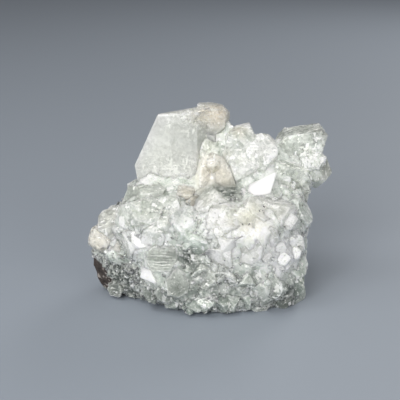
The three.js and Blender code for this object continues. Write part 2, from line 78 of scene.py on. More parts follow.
# ---- The matrix ----
# A broken piece of dark brown basalt, which everything grew on. A grey, sparkling crust of crystals
# well under a millimetre across covers it, except low on the left side, where the rock is bare.
class Wire:
    """A socket of a material that Python's operators work on, each adding one Math node."""

    def __init__(self, tree, socket):
        self.tree = tree
        self.socket = socket

    def _math(self, operation, *values):
        node = self.tree.nodes.new("ShaderNodeMath")
        node.operation = operation
        for place, value in enumerate(values):
            if isinstance(value, Wire):
                self.tree.links.new(value.socket, node.inputs[place])
            else:
                node.inputs[place].default_value = value
        return Wire(self.tree, node.outputs[0])

    def __add__(self, other):
        return self._math("ADD", self, other)

    def __radd__(self, other):
        return self._math("ADD", other, self)

    def __sub__(self, other):
        return self._math("SUBTRACT", self, other)

    def __rsub__(self, other):
        return self._math("SUBTRACT", other, self)

    def __mul__(self, other):
        return self._math("MULTIPLY", self, other)

    def __rmul__(self, other):
        return self._math("MULTIPLY", other, self)

    def step(self, start, end):
        """0 below start, 1 above end, straight between."""
        share = (self - start) * (1 / (end - start))
        return self._math("MINIMUM", self._math("MAXIMUM", share, 0.0), 1.0)


class Finish:
    """A new material, with one method that adds any node to it and short forms of the usual ones."""

    def __init__(self, name):
        self.material = bpy.data.materials.new(name)
        self.material.use_nodes = True
        self.tree = self.material.node_tree
        self.tree.nodes.clear()
        self.output = self.tree.nodes.new("ShaderNodeOutputMaterial")

    def node(self, kind, output, settings, sockets):
        """Adds a node: its settings are set first, then its sockets by name or number."""
        node = self.tree.nodes.new("ShaderNode" + kind)
        for key, value in settings.items():
            setattr(node, key, value)
        for key, value in sockets.items():
            if isinstance(value, Wire):
                self.tree.links.new(value.socket, node.inputs[key])
            else:
                node.inputs[key].default_value = value
        return Wire(self.tree, node.outputs[output])

    def mark(self, name):
        """The number that the piece keeps under this name at each point."""
        return self.node("Attribute", "Fac", {"attribute_name": name}, {})

    def place(self, stretch=(1, 1, 1), turn=(0, 0, 0)):
        """The point's place in the object, turned and then stretched."""
        here = self.node("TexCoord", "Object", {}, {})
        if stretch == (1, 1, 1):
            return here
        return self.node("Mapping", 0, {}, {"Vector": here, "Scale": stretch, "Rotation": turn})

    def noise(self, scale, detail=3.0, roughness=0.55):
        """Cloudy noise from 0 to 1, with scale features a metre: 1000 / 7 makes them 7 mm."""
        sockets = {"Vector": self.place(), "Scale": scale, "Detail": detail, "Roughness": roughness}
        return self.node("TexNoise", 0, {}, sockets)

    def cells(self, scale, wander=0.0, stretch=(1, 1, 1), turn=(0, 0, 0)):
        """One even random number from 0 to 1 for each of scale cells a metre. Their borders waver by
        up to about wander of a cell."""
        here = self.place(stretch, turn)
        if wander:
            sockets = {"Vector": self.place(), "Scale": scale, "Detail": 1.0}
            drift = self.node("TexNoise", "Color", {}, sockets)
            drift = self.node("VectorMath", 0, {"operation": "SCALE"}, {0: drift, "Scale": wander / scale})
            here = self.node("VectorMath", 0, {}, {0: here, 1: drift})
        colour = self.node("TexVoronoi", "Color", {}, {"Vector": here, "Scale": scale})
        return self.node("SeparateColor", 0, {}, {0: colour})

    def mix(self, share, first, second):
        """The colour that lies share of the way from first to second."""
        return self.node("Mix", 2, {"data_type": "RGBA"}, {0: share, 6: first, 7: second})

    def bump(self, height, distance, strength, normal):
        """The normal, tilted as if the surface stood out by height times distance."""
        sockets = {"Height": height, "Distance": distance, "Strength": strength, "Normal": normal}
        return self.node("Bump", 0, {}, sockets)

    def leaned(self, scale, amount):
        """The surface's own way out, leaned over a different way in each of scale cells a metre."""
        lean = self.node("TexVoronoi", "Color", {}, {"Vector": self.place(), "Scale": scale})
        lean = self.node("VectorMath", 0, {"operation": "SUBTRACT"}, {0: lean, 1: (0.5, 0.5, 0.5)})
        lean = self.node("VectorMath", 0, {"operation": "SCALE"}, {0: lean, "Scale": amount})
        own = self.node("VectorMath", 0, {}, {0: self.node("TexCoord", "Normal", {}, {}), 1: lean})
        return self.node("VectorMath", 0, {"operation": "NORMALIZE"}, {0: own})

    def close(self, surface, volume=None):
        """The material, once its surface and its volume are wired to the output."""
        self.tree.links.new(surface.socket, self.output.inputs["Surface"])
        if volume:
            self.tree.links.new(volume.socket, self.output.inputs["Volume"])
        return self.material


def dice(cells, seed, turns):
    """For each row of three whole numbers, one even random number from 0 to 1 for each of the turns."""
    key = cells[:, 0] * 73856093 + cells[:, 1] * 19349663 + cells[:, 2] * 83492791 + seed * 2654435
    columns = []
    for turn in turns:
        mixed = (key + turn * 265443576) & 0xFFFFFFFF
        for factor in (73244475, 739982445):
            mixed = ((mixed ^ (mixed >> 16)) * factor) & 0xFFFFFFFF
        columns.append((mixed ^ (mixed >> 16)) / 2**32)
    return np.stack(columns, axis=1)


def clouds(points, size, seed):
    """Smooth random numbers from -1 to 1: the numbers of a lattice's corners, blended by smoothstep."""
    scaled = points / size
    home = np.floor(scaled).astype(np.int64)
    share = scaled - home
    share = share * share * (3 - 2 * share)
    total = np.zeros(len(points))
    for corner in itertools.product((0, 1), repeat=3):
        weight = np.prod(np.where(corner, share, 1 - share), axis=1)
        total += weight * dice(home + np.array(corner), seed, (0,))[:, 0]
    return 2 * total - 1


def turns_of(numbers):
    """An even random rotation matrix for each row of three numbers from 0 to 1 (a unit quaternion)."""
    u, v, w = numbers.T
    x, y = np.sqrt(1 - u) * np.sin(math.tau * v), np.sqrt(1 - u) * np.cos(math.tau * v)
    z, s = np.sqrt(u) * np.sin(math.tau * w), np.sqrt(u) * np.cos(math.tau * w)
    rows = [
        [1 - 2 * (y * y + z * z), 2 * (x * y - z * s), 2 * (x * z + y * s)],
        [2 * (x * y + z * s), 1 - 2 * (x * x + z * z), 2 * (y * z - x * s)],
        [2 * (x * z - y * s), 2 * (y * z + x * s), 1 - 2 * (x * x + y * y)],
    ]
    return np.stack([np.stack(row, axis=-1) for row in rows], axis=-2)


def crust(points, normals, size, seed, stand=0.3):
    """The height of a crust of little blocks over each point, about 0 at the middle of its range.

    Every cell of a lattice holds one box turned at random. The boxes whose middles lie within stand
    of the surface count, and the height is the farthest way out along the normal through any of them."""
    home = np.floor(points / size).astype(np.int64)
    height = np.full(len(points), -0.3 * size)
    for shift in itertools.product((-1, 0, 1), repeat=3):
        cell = home + np.array(shift)
        offset = points - (cell + dice(cell, seed, range(3))) * size
        near = np.abs((offset * normals).sum(1)) < stand * size
        near &= (offset**2).sum(1) < (1.1 * size) ** 2
        pick = np.flatnonzero(near)
        numbers = dice(cell[pick], seed, range(3, 9))
        turn = turns_of(numbers[:, :3])
        here = np.einsum("nij,nj->ni", turn, offset[pick])
        way = np.einsum("nij,nj->ni", turn, normals[pick])
        way = np.where(np.abs(way) < 1e-6, 1e-6, way)
        half = size * (0.34 + 0.3 * numbers[:, 3:])
        leave = ((np.sign(way) * half - here) / way).min(1)
        enter = ((-np.sign(way) * half - here) / way).max(1)
        better = (leave > enter) & (leave > height[pick])
        height[pick[better]] = leave[better]
    return height - 0.3 * size


def mosaic(points, size, seed):
    """Plates that each slope a little their own way: the nearest seed's random slope times the offset."""
    home = np.floor(points / size).astype(np.int64)
    nearest = np.full(len(points), np.inf)
    height = np.zeros(len(points))
    for shift in itertools.product((-1, 0, 1), repeat=3):
        cell = home + np.array(shift)
        numbers = dice(cell, seed, range(7))
        offset = points - (cell + numbers[:, :3]) * size
        far = (offset**2).sum(1)
        better = far < nearest
        nearest[better] = far[better]
        slope = (offset * (2 * numbers[:, 3:6] - 1)).sum(1) + (numbers[:, 6] - 0.5) * size * 0.6
        height[better] = slope[better]
    return height


def welded(node):
    """A CAD node's shared corners and its triangles, as arrays in metres."""
    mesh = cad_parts[node].data
    place = np.zeros(len(mesh.vertices) * 3)
    mesh.vertices.foreach_get("co", place)
    place = place.reshape(-1, 3)
    mesh.calc_loop_triangles()
    corners = np.zeros(len(mesh.loop_triangles) * 3, dtype=np.int64)
    mesh.loop_triangles.foreach_get("vertices", corners)
    keys = np.round(place * 1e6).astype(np.int64)
    _, first, back = np.unique(keys, axis=0, return_index=True, return_inverse=True)
    triangles = back.reshape(-1)[corners].reshape(-1, 3)
    a, b, c = triangles.T
    return place[first], triangles[(a != b) & (b != c) & (c != a)]


def refined(points, triangles, longest):
    """Halves every edge over longest until there is none: a triangle with one, two or three halved
    edges becomes two, three or four, so neighbours always share their edges."""
    while True:
        pairs = np.sort(triangles[:, [[0, 1], [1, 2], [2, 0]]].reshape(-1, 2), axis=1)
        key = pairs[:, 0] * len(points) + pairs[:, 1]
        _, first, back = np.unique(key, return_index=True, return_inverse=True)
        edges = pairs[first]
        split = np.linalg.norm(points[edges[:, 0]] - points[edges[:, 1]], axis=1) > longest
        if not split.any():
            return points, triangles
        number = np.full(len(edges), -1)
        number[split] = len(points) + np.arange(split.sum())
        middle = number[back.reshape(-1)].reshape(-1, 3)
        points = np.concatenate([points, points[edges[split]].mean(axis=1)])
        cut = middle >= 0
        count = cut.sum(axis=1)
        made = [triangles[count == 0]]
        for start in range(3):
            a, b, c = (triangles[:, (start + k) % 3] for k in range(3))
            ab, bc = middle[:, start], middle[:, (start + 1) % 3]
            one = (count == 1) & cut[:, start]
            made += [np.stack([a, ab, c], 1)[one], np.stack([ab, b, c], 1)[one]]
            two = (count == 2) & cut[:, start] & cut[:, (start + 1) % 3]
            made += [np.stack(row, 1)[two] for row in ((a, ab, c), (ab, bc, c), (ab, b, bc))]
        a, b, c = triangles[count == 3].T
        ab, bc, ca = middle[count == 3].T
        made += [np.stack(row, 1) for row in ((a, ab, ca), (ab, b, bc), (ca, bc, c), (ab, bc, ca))]
        triangles = np.concatenate(made)


def outward(points, triangles):
    """Each point's way out: the sum of its triangles' normals, weighted by their areas."""
    a, b, c = (points[triangles[:, k]] for k in range(3))
    across = np.cross(b - a, c - a)
    total = [
        sum(np.bincount(triangles[:, k], way, len(points)) for k in range(3)) for way in across.T
    ]
    total = np.stack(total, axis=1)
    return total / np.maximum(np.linalg.norm(total, axis=1, keepdims=True), 1e-20)


def worn(points, triangles, passes):
    """Edges and corners rubbed round: each pass moves a point along its normal, half the way to the
    mean of its neighbours."""
    pairs = triangles[:, [[0, 1], [1, 2], [2, 0]]].reshape(-1, 2)
    ends = np.concatenate([pairs, pairs[:, ::-1]])
    count = np.bincount(ends[:, 0], minlength=len(points))
    for _ in range(passes):
        total = [np.bincount(ends[:, 0], points[ends[:, 1], axis], len(points)) for axis in range(3)]
        move = np.stack(total, axis=1) / count[:, None] - points
        normals = outward(points, triangles)
        points = points + 0.5 * (move * normals).sum(1, keepdims=True) * normals
    return points


def around(points, spot, reach):
    """1 at a spot given in millimetres, falling smoothly to 0 at the reach from it."""
    share = np.clip(1 - np.linalg.norm(points - np.array(spot) * MM, axis=1) / (reach * MM), 0, 1)
    return share * share * (3 - 2 * share)


FOOT = 1.5 * MM
LIFT = 0.03 * MM


def raised(points, normals, height):
    """Points moved out along their normals by height, less and less below FOOT, so that the flat
    underside stays where it is and the others stay LIFT above it."""
    moved = points + normals * (height * np.clip(points[:, 2] / FOOT, 0, 1))[:, None]
    moved[:, 2] = np.where(points[:, 2] < 1e-6, points[:, 2], np.maximum(moved[:, 2], LIFT))
    return moved


def piece_of(name, points, triangles, finish, marks):
    """A flat-shaded mesh object from arrays, which keeps each of the marks as a number at every point."""
    mesh = bpy.data.meshes.new(name)
    mesh.vertices.add(len(points))
    mesh.vertices.foreach_set("co", points.astype(np.float32).ravel())
    mesh.loops.add(triangles.size)
    mesh.loops.foreach_set("vertex_index", triangles.astype(np.int32).ravel())
    mesh.polygons.add(len(triangles))
    mesh.polygons.foreach_set("loop_start", np.arange(0, triangles.size, 3, dtype=np.int32))
    mesh.update(calc_edges=True)
    mesh.shade_flat()
    for key, values in marks.items():
        layer = mesh.attributes.new(key, "FLOAT", "POINT")
        layer.data.foreach_set("value", values.astype(np.float32))
    mesh.materials.append(finish)
    piece = bpy.data.objects.new(name, mesh)
    scene.collection.objects.link(piece)
    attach(piece, "root")
    return piece


rock, rock_faces = refined(*welded("matrix"), 0.6 * MM)
rock_normals = outward(rock, rock_faces)
BARE = (((-37, -1, 7), 10), ((-34, -3, 4), 8), ((-30, -5, 1.5), 7))
bare = sum(around(rock, place, reach) for place, reach in BARE)
bare = np.clip(3 * bare + 0.5 * clouds(rock, 3.5 * MM, 11) - 0.7, 0, 1)
lumps = 0.8 * clouds(rock, 4.5 * MM, 12) + 0.4 * clouds(rock, 1.6 * MM, 13) + 0.2 * clouds(rock, 0.8 * MM, 14)
blocks = np.maximum(crust(rock, rock_normals, 2.4 * MM, 21), crust(rock, rock_normals, 1.2 * MM, 22))
rise = (1 - bare) * (0.5 * MM + 0.6 * blocks) + bare * 0.5 * MM * lumps
rock_skin = raised(rock, rock_normals, rise)

stone = Finish("crusted_basalt")
crusted = 1 - stone.mark("bare").step(0.35, 0.65)
glint = stone.cells(1500)
patch = stone.noise(300, 4)
# The crust is lighter on its raised tops and darker in the hollows between its blocks: painted shade.
light_share = (0.5 * glint + 0.6 * stone.mark("tops") + 0.7 * patch).step(0.45, 1.5)
crust_colour = stone.mix(light_share, (0.42, 0.45, 0.41, 1), (0.86, 0.89, 0.83, 1))
grey_and_shade_colour = stone.mix(light_share, (0.13, 0.135, 0.13, 1), (0.62, 0.65, 0.61, 1))
# Darker in some patches and towards the table and the left end: partly the crust's own grey, partly painted
# shade.
crust_colour = stone.mix(stone.mark("grey_and_shade_mark").step(0.0, 1.0), crust_colour, grey_and_shade_colour)
# White specks at a few of the glint cells: painted glints.
crust_colour = stone.mix(glint.step(0.93, 0.95) * 0.9, crust_colour, (0.95, 0.96, 0.95, 1))
stain = stone.noise(650, 5)
basalt_colour = stone.mix(stain.step(0.35, 0.7), (0.020, 0.015, 0.013, 1), (0.10, 0.078, 0.068, 1))
basalt_colour = stone.mix(stone.cells(1300).step(0.88, 0.92), basalt_colour, (0.30, 0.27, 0.25, 1))
stone_surface = stone.node("BsdfPrincipled", 0, {}, {
    "Base Color": stone.mix(crusted, basalt_colour, crust_colour),
    "Roughness": 0.8 - crusted * (0.25 + 0.3 * glint.step(0.6, 0.9)),
    "IOR": 1.54,
    "Normal": stone.bump(glint + 0.5 * patch, 0.3 * MM, 0.7, stone.leaned(1900, crusted * 0.6)),
})
stone_finish = stone.close(stone_surface)
# Patches where the crust is darker, partly its own grey and partly painted shade where it is sunken: (place,
# reach, how much darker).
GREY_AND_SHADE_PATCHES = (
    ((-9, -19, 21), 6, 0.9), ((-5, -20, 17), 6, 0.9), ((-3, -21, 11), 6, 0.6), ((9, -18, 16), 7, 0.5),
    ((7, -7, 35.5), 6, 1.3), ((-3, -9, 35), 5, 0.9), ((1.5, -8, 35.5), 5, 1.5), ((12, -20, 12.5), 5, 0.9),
    ((-6.3, -20, 18), 6, 0.6), ((28, -12, 8), 6, 0.6), ((2, -21, 12.5), 6, 0.35), ((-5, -20, 24), 5, 0.3),
    ((4, -19, 8), 9, 0.5), ((22, -16, 3), 9, 1.4), ((-27, -9, 8), 9, 1.0), ((-30, -8, 13), 8, 0.8),
    ((-10, -20, 10), 8, 0.7), ((-18, -17, 6), 8, 0.5), ((-14.5, -20, 19), 6, 0.5), ((-25, -7, 34), 7, 0.7),
    ((-28, -11, 28), 6, 0.4), ((-14, -9, 36), 6, 0.5), ((-17, -14, 34), 5, 0.3),
)


def grey_and_shade(points):
    """How much darker the crust is at each point, partly its own grey and partly painted shade: up to 1
    or more in some patches, and rising towards the table and the left end."""
    total = 1.1 * np.clip(1 - points[:, 2] / (16 * MM), 0, 1)
    total = total * np.clip(1.3 - points[:, 0] / (40 * MM), 0.85, 1)
    return total + sum(number * around(points, place, reach) for place, reach, number in GREY_AND_SHADE_PATCHES)


# How far the crust stands out at each point, which makes its tops lighter and its hollows darker: painted
# shade.
tops = np.clip(0.5 + rise / (1.2 * MM), 0, 1)
stored = {"bare": bare, "tops": tops, "grey_and_shade_mark": grey_and_shade(rock) + 0.4}
matrix = piece_of("matrix_crust", rock_skin, rock_faces, stone_finish, stored)
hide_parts("matrix")


# ---- The big crystal at the left ----
# One thick, blocky apophyllite crystal, cloudy white with a faint green, its top broken off in steps.
# Its right shoulder is a peach-coloured block, and its foot is full of bright cracks.
PALE = (0.92, 0.955, 0.89, 1)
GREY_GREEN = (0.66, 0.715, 0.645, 1)
PEACH = (0.84, 0.74, 0.61, 1)
DARK_GREY_AND_SHADE = (0.12, 0.14, 0.125, 1)
CRACK_AND_HIGHLIGHT_WHITE = (0.98, 0.99, 0.94, 1)
# Colours of painted glints.
GLINT_WHITE = (1.0, 1.0, 0.96, 1)
GLINT_DARK = (0.20, 0.22, 0.20, 1)
VEIN_WIDTH = 0.00005
APOPHYLLITE_IOR = 1.535


def crystal_finish(
    name, milk, cloud=PALE, shade=GREY_GREEN, roughness=0.06,
    warm=PEACH, depth=0.003, mottle=1.0, veil_size=7.0, shards=1.0, sparkle=0.7,
):
    """Clear crystal and cloudy crystal, mixed by how milky it is, with angular white flaws in both.

    cloud and shade are its lighter and darker colours, warm is the colour of its stains, depth is how
    far light wanders in the cloudy part, mottle, shards and sparkle are how strong its plates and
    veils, its cracks and its grain with its painted glints are, and veil_size is the size of its veils in
    millimetres."""
    finish = Finish(name)
    dark = finish.mark("dark")
    cracked = finish.mark("flaw")
    veil = mottle * (finish.noise(1000 / veil_size, 3, 0.5) - 0.5)
    plate = mottle * (0.5 * finish.cells(1000 / 2.1) + 0.5 * finish.cells(1000 / 0.8) - 0.5)
    first = finish.cells(1000 / 0.75, 0.9, (1, 1, 0.35), (0.5, 0.3, 0))
    second = finish.cells(1000 / 0.65, 0.9, (0.35, 1, 1), (0, 0.4, 0.6))
    third = finish.cells(1000 / 1.5, 0.9, (1, 1, 0.5), (0.2, 0.9, 0))
    limit = 1.0 - 0.16 * cracked
    flaw = (first - limit).step(0.0, 0.04) + (second - limit).step(0.0, 0.04)
    flaw = flaw + 0.7 * (third - limit - 0.02).step(0.0, 0.03)
    flaw = shards * flaw.step(0.0, 1.0) * (1 - 0.3 * dark.step(0.0, 1.0))
    drift = finish.noise(1000 / 3.2, 4, 0.62) - 0.5
    vein = (VEIN_WIDTH - drift * drift).step(0.0, VEIN_WIDTH) * cracked.step(0.0, 0.5)
    flaw = (flaw + 0.5 * vein).step(0.0, 1.0)
    # Whiter at the flaws, which are the crystal's own cracks, and along its bright edges and rims, which are
    # painted highlights.
    white = (flaw + 0.65 * finish.mark("edge")).step(0.0, 1.0)
    grain_and_glint = finish.cells(1000 / 0.36)
    sparkling = cracked.step(0.0, 0.8) * sparkle
    tone = 0.70 + 1.2 * veil + 0.9 * plate + finish.mark("tint")
    colour = finish.mix(tone.step(0.0, 1.0), shade, cloud)
    colour = finish.mix(finish.mark("warm").step(0.0, 1.0), colour, warm)
    # Darker where the dark mark is high: partly the crystal's own grey, partly painted shade in hollows,
    # recesses and towards the table.
    colour = finish.mix(dark.step(0.0, 1.0), colour, DARK_GREY_AND_SHADE)
    colour = finish.mix(white, colour, CRACK_AND_HIGHLIGHT_WHITE)
    # White and dark specks on the grain: painted glints, strongest where it is cracked.
    colour = finish.mix((grain_and_glint - 0.9).step(0.0, 0.03) * sparkling, colour, GLINT_WHITE)
    colour = finish.mix((0.1 - grain_and_glint).step(0.0, 0.03) * 0.45 * sparkling, colour, GLINT_DARK)
    share = milk + finish.mark("milk") + 0.7 * veil + 0.5 * plate
    share = share.step(0.0, 1.0) + 0.45 * white + 0.5 * dark
    relief = finish.noise(1000 / 0.7, 2) + 0.4 * finish.cells(1000 / 0.8) + 0.4 * grain_and_glint * sparkling
    normal = finish.bump(relief, 0.12 * MM, 0.35, finish.leaned(1000 / 0.5, 0.12 * sparkling))
    clear = finish.node("BsdfPrincipled", 0, {}, {
        "Base Color": (0.96, 0.98, 0.96, 1), "Roughness": roughness, "IOR": APOPHYLLITE_IOR,
        "Transmission Weight": 1.0, "Normal": normal,
    })
    cloudy = finish.node("BsdfPrincipled", 0, {}, {
        "Base Color": colour, "Roughness": 0.16 - 0.06 * flaw, "IOR": APOPHYLLITE_IOR,
        "Subsurface Weight": 1.0, "Subsurface Radius": (1.0, 1.0, 0.95), "Subsurface Scale": depth,
        "Normal": normal,
    })
    surface = finish.node("MixShader", 0, {}, {0: share.step(0.0, 1.0), 1: clear, 2: cloudy})
    volume = finish.node("VolumeAbsorption", 0, {}, {"Color": (0.82, 0.90, 0.80, 1), "Density": 10.0})
    return finish.close(surface, volume)


# A piece's marks, besides its bright edges, which are painted highlights: how milky, how stained, how
# much darker (partly its own grey, partly painted shade), how much lighter and how cracked it is.
MARKS = ("milk", "warm", "dark", "tint", "flaw")
skins = []


def grown(
    node, finish, slot, longest=0.45, wear=1, plates=(1.6, 0.05), lines=None, grains=(), dull=1.0,
    swell=0.12, **marks,
):
    """A crystal's CAD shape with the surface that it grew, and the marks that its finish reads.

    longest is the longest edge of its triangles, and wear is how often its edges are rubbed. plates are
    (size, slope) of its sloping plates, lines are (spacing, depth) of level growth lines, and grains are
    (size, strength, places) of crusts of blocks, each near its places (place, reach) or all over when
    there are none. Sizes are in millimetres. dull is how much of the crust's darkening, partly its own
    grey and partly painted shade, it takes, and swell is how far the whole skin stands out. Each mark is
    one number for the whole crystal, then any (place, reach, number) to add there."""
    seed = sum(ord(letter) for letter in node)
    points, triangles = refined(*welded(node), longest * MM)
    points = worn(points, triangles, wear)
    normals = outward(points, triangles)
    # How far each point stands out past its rubbed neighbours, which whitens the convex edges: painted
    # highlight.
    edge = ((points - worn(points, triangles, 8)) * normals).sum(1) / (0.30 * MM)
    height = swell * MM + plates[1] * mosaic(points, plates[0] * MM, seed)
    height = height + 0.03 * MM * clouds(points, 1.0 * MM, seed)
    if lines:
        level = points[:, 2] / (lines[0] * MM) + 0.3 * clouds(points, 5 * MM, seed)
        height += lines[1] * MM * (np.abs(level % 1 - 0.5) * 2) * (1 - np.abs(normals[:, 2]))
    for size, strength, places in grains:
        near = sum(1.6 * around(points, place, reach) for place, reach in places) if places else 1
        near = np.clip(near, 0, 1)
        height += strength * near * crust(points, normals, size * MM, seed + int(10 * size))
    skin = raised(points, normals, height)
    stored = {"edge": np.clip(edge, 0, 1)}
    for key in MARKS:
        plain, *places = marks.get(key, (0.0,))
        stored[key] = plain + sum(number * around(points, place, reach) for place, reach, number in places)
        stored[key] = stored[key] * np.ones(len(points))
    # Darker towards the table and in the crust's darker patches: partly grey, partly painted shade.
    stored["dark"] += 0.7 * dull * grey_and_shade(points)
    stored["tint"] -= 0.4 * dull * grey_and_shade(points)
    piece = piece_of(node + "_skin", skin, triangles, finish, stored)
    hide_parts(node)
    skins.append((piece, skin, stored["edge"]))


milky = crystal_finish("milky_apophyllite", 0.66)
smooth = crystal_finish(
    "smooth_apophyllite", 0.70, (0.80, 0.81, 0.775, 1), (0.57, 0.585, 0.55, 1),
    depth=0.005, mottle=0.4, veil_size=12.0, shards=0.3, sparkle=0.6,
)
grown(
    "large_left_crystal", smooth, "milky_crystal",
    plates=(6.0, 0.02),
    lines=(2.4, 0.05),
    grains=(
        (1.8, 0.35, (((-4, 0, 59), 8), ((-16, -3, 33), 7), ((-8, -4, 33), 7))),
        (0.9, 0.5, (
            ((-3, 0, 59), 9), ((2, 2, 58), 6), ((-16, -3, 34), 8), ((-9, -4, 34), 8), ((-2, -4, 36), 6),
        )),
    ),
    milk=(0.08, ((-16, 0, 48), 12, 0.12), ((0, 1, 48), 6, -0.25), ((-12, -2, 36), 9, 0.2)),
    # The recessed column under the right shoulder is painted darker: partly its grey-tan colour, partly
    # painted shade.
    dark=(0.0, ((0.5, 1, 48), 8, 0.3)),
    tint=(
        # The white streak at the top left, here and in the flaws, is a painted highlight.
        -0.15, ((0, 1, 49), 8, -0.45), ((-14, 0, 56), 3, 0.5), ((-14, -2, 35), 8, 0.35),
        ((-6, -2, 37), 7, 0.15),
    ),
    warm=(0.0, ((3, 3, 58), 9, 0.75), ((-3, 0, 59), 7, 0.35)),
    flaw=(
        0.0, ((-15, -3, 38), 13, 1.0), ((-6, -3, 38), 12, 1.0), ((-4, 0, 57), 10, 1.0),
        # The streak at the top left: painted highlight.
        ((-13, -1, 55.5), 3, 1.2),
    ),
)


# ---- The peach-coloured crystals ----
# Blocky crystals with a breath of peach and cream: a stack of them under the big crystal's shoulder,
# a lump on the front ridge, and a rounded knob at the left end.
peach = crystal_finish("peach_apophyllite", 0.76, (0.84, 0.805, 0.71, 1), (0.64, 0.60, 0.51, 1), depth=0.004)
grown(
    "cream_crystals", peach, "peach_crystal",
    wear=3,
    plates=(4.0, 0.03),
    # The bright spot near the top of the cream crystals is a painted highlight.
    tint=(-0.05, ((0.5, -3, 44), 3, 0.6)),
    flaw=(0.15, ((0.5, -3, 44), 4, 1.0)),
)
grown("ridge_crystals", peach, "peach_crystal", wear=3, swell=0.3, tint=(-0.6,), flaw=(0.3,))
grown(
    "peach_knob", peach, "peach_crystal", wear=30, swell=0.9, plates=(1.6, 0.02),
    tint=(0.25,), milk=(0.1,), flaw=(0.3,),
)


# ---- The pair of crystals in the middle ----
# Two thick crystals grown through each other, the left one wedge-shaped with a peach edge on top, the
# right one nearly round, with white cracks that spread out under its face and a bright rim.
grown(
    "middle_crystal_pair", milky, "milky_crystal",
    plates=(3.0, 0.06),
    grains=((1.2, 0.3, (((9, -5, 35), 7), ((15, -4, 37), 6))),),
    milk=(0.1, ((15, -3, 47), 6, -0.15)),
    tint=(0.3,),
    warm=(0.0, ((8, 0, 53), 5, 0.6), ((4, -2, 46), 4, 0.4)),
    flaw=(0.35, ((15, -3, 46), 8, 0.5), ((8, -3, 46), 7, 0.2)),
)


# ---- The group at the right ----
# Clear crystals leaning out to the right, the sharpest one glassy at its tip and shattered white
# below it. The smaller ones on its outer side are rounded and faintly brown.
clear = crystal_finish("clear_apophyllite", 0.56, (0.87, 0.90, 0.85, 1), (0.60, 0.64, 0.585, 1))
grown(
    "right_crystal_group", clear, "clear_crystal",
    plates=(2.0, 0.10),
    grains=(
        (1.6, 0.3, (((31, -3, 37), 7), ((24, -4, 34), 8))),
        (0.9, 0.3, (((32, -2, 44), 6), ((26, -4, 34), 8))),
    ),
    milk=(0.1, ((32, -2, 45), 6, 0.4), ((33, -1, 52), 5, -0.35)),
    tint=(-0.3, ((23, 0, 46), 8, -0.35), ((32, -2, 45), 6, 0.4)),
    warm=(0.0, ((36, 0, 40), 6, 0.2), ((26, -3, 34), 8, 0.12)),
    flaw=(0.4, ((32, -2, 45), 7, 1.0), ((27, -2, 45), 5, 0.7)),
)


# ---- The bright blade ----
# A flat crystal of solid white apophyllite, grown on edge out of the valley. Its broad, pearly face
# catches the light.
blade = crystal_finish(
    "blade_apophyllite", 1.0, (0.99, 0.99, 0.985, 1), (0.93, 0.94, 0.94, 1), 0.05, mottle=0.4, sparkle=0.1
)
grown(
    "bright_tabular_crystal", blade, "clear_crystal", dull=0.0, plates=(1.6, 0.02), tint=(0.4,), flaw=(0.8,)
)


# ---- The left end ----
# Frosted, nearly clear crystals that step down to the left: a shoulder, an outer block with a hollow in its
# face, painted grey as shade, and small ones round the knob.
frosted = crystal_finish("frosted_apophyllite", 0.55, (0.84, 0.845, 0.795, 1), (0.60, 0.61, 0.565, 1), 0.2)
grown("left_shoulder_crystals", clear, "clear_crystal", plates=(3.0, 0.03), tint=(-0.4,), flaw=(0.25,))
grown(
    "left_outer_crystal", frosted, "frosted_crystal",
    wear=0,
    plates=(4.0, 0.03),
    milk=(0.05,),
    # The hollow in its face is painted dark grey: painted shade.
    dark=(0.0, ((-28, -12, 28.5), 2.2, 0.9)),
    tint=(-0.45,),
    flaw=(0.35,),
)
grown("left_end_crystal", frosted, "frosted_crystal", milk=(0.3,), flaw=(0.8,))
grown("left_side_crystals", milky, "milky_crystal", flaw=(0.4,))
grown("left_foot_crystal", frosted, "frosted_crystal", grains=((1.6, 0.3, ()),), flaw=(0.4,))


# ---- The front left ----
# Interlocked crystals, some clear and some blue-white with cracks. Below them are one with level
# growth lines, a chip of pure white, and one that is clear and green.
greenish = crystal_finish("greenish_apophyllite", 0.66, (0.88, 0.955, 0.875, 1), (0.61, 0.70, 0.62, 1))
grown(
    "left_front_crystals", milky, "milky_crystal",
    plates=(2.0, 0.06),
    milk=(0.0, ((-22, -16, 22), 6, 0.4), ((-16, -14, 33), 5, -0.1)),
    tint=(0.0, ((-22, -16, 22), 6, 0.5)),
    # The same hollow, painted darker: painted shade.
    dark=(0.0, ((-27.3, -12.4, 28.8), 1.6, 0.6)),
    flaw=(0.4, ((-22, -15, 24), 7, 0.5), ((-14, -15, 31), 6, 0.5)),
)
grown(
    "striated_crystal", clear, "clear_crystal", plates=(3.0, 0.03), lines=(0.8, 0.04),
    dark=(0.25,), tint=(-0.8,), flaw=(0.1,),
)
grown(
    "white_chip_crystal", blade, "milky_crystal", dull=0.0, swell=0.3, plates=(1.3, 0.06),
    tint=(0.2,), flaw=(0.5,),
)
grown("front_centre_crystals", greenish, "green_crystal", milk=(0.1,), tint=(0.1,), flaw=(0.4,))


# ---- The front right mass and the round crystals ----
# The largest body of the crust, cream-white with a yellow middle and a few black grains. To its
# right are small round crystals with bright rims, and a green edge.
yellow = crystal_finish(
    "mass_apophyllite", 0.76, (0.955, 0.96, 0.90, 1), (0.76, 0.78, 0.70, 1),
    warm=(0.90, 0.885, 0.735, 1), depth=0.004,
)
grown(
    "front_right_mass", yellow, "milky_crystal",
    plates=(5.0, 0.03),
    warm=(0.0, ((12, -19, 30), 9, 1.0)),
    flaw=(0.25, ((2, -18, 30), 8, 0.6), ((20, -16, 27), 8, 0.4)),
)
